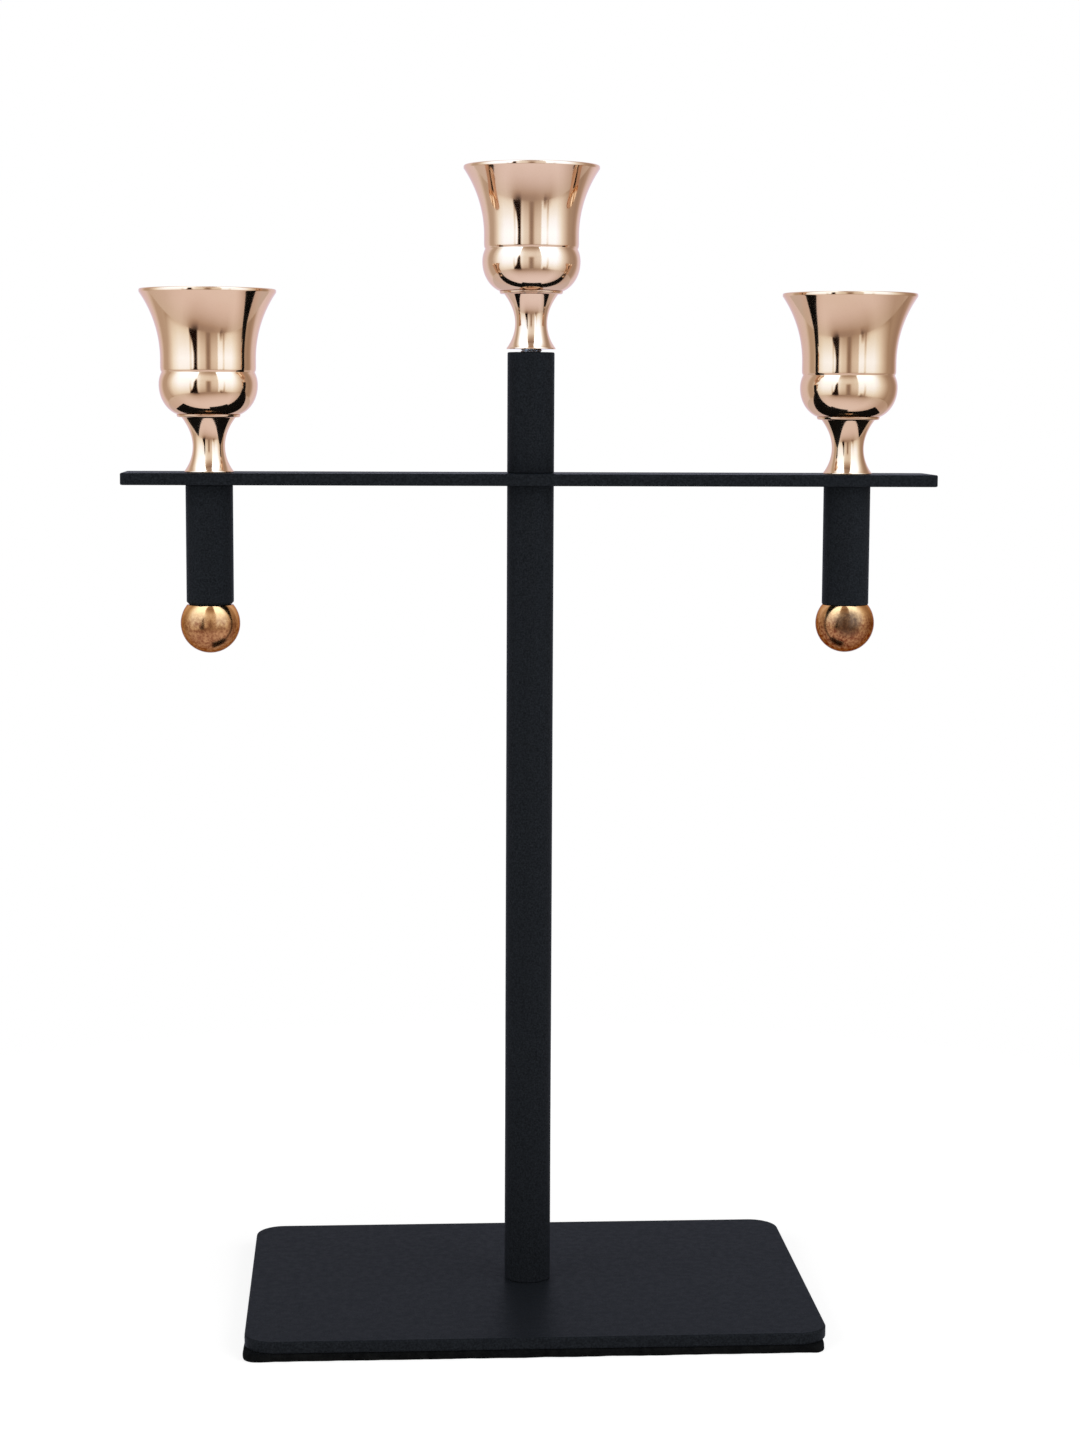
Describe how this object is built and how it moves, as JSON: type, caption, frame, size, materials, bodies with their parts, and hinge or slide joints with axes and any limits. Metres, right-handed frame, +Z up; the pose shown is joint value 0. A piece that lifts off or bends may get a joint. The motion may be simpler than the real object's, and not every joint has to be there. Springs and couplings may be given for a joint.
{
  "type": "candle holder",
  "caption": "Candle holder with a tall post on a flat base, a cross bar, flared cups on spool necks and ball ends under the bar.",
  "frame": {"origin": "on the floor, under the centre of the base and of the cross bar", "axes": "+X along the cross bar, to the right as seen from the front; -Y towards the front; +Z up"},
  "size_m": [0.219, 0.1028, 0.3114],
  "materials": {
    "powder_coat": "fine-textured matt powder coat",
    "pad_foam": "soft matt foam",
    "rose_gold": "polished rose gold plate",
    "aged_copper": "polished copper with brown tarnish",
    "zinc_steel": "zinc plated"
  },
  "bodies": {
    "root": {"base_pad": "pad_foam", "base_plate": "powder_coat", "base_screw": "zinc_steel", "lower_post": "powder_coat", "lower_post_foot_plug": "zinc_steel", "lower_post_head_plug": "zinc_steel", "crossing_stud": "zinc_steel", "cross_bar": "powder_coat", "upper_post": "powder_coat", "upper_post_foot_plug": "zinc_steel", "upper_post_head_plug": "zinc_steel", "centre_cup_stud": "zinc_steel", "centre_neck": "rose_gold", "centre_bowl": "rose_gold", "centre_bowl_screw": "zinc_steel", "left_drop_tube": "powder_coat", "left_head_plug": "zinc_steel", "left_foot_plug": "zinc_steel", "left_ball_stud": "zinc_steel", "left_ball": "aged_copper", "left_cup_stud": "zinc_steel", "left_neck": "rose_gold", "left_bowl": "rose_gold", "left_bowl_screw": "zinc_steel", "right_drop_tube": "powder_coat", "right_head_plug": "zinc_steel", "right_foot_plug": "zinc_steel", "right_ball_stud": "zinc_steel", "right_ball": "aged_copper", "right_cup_stud": "zinc_steel", "right_neck": "rose_gold", "right_bowl": "rose_gold", "right_bowl_screw": "zinc_steel"}
  },
  "joints": []
}
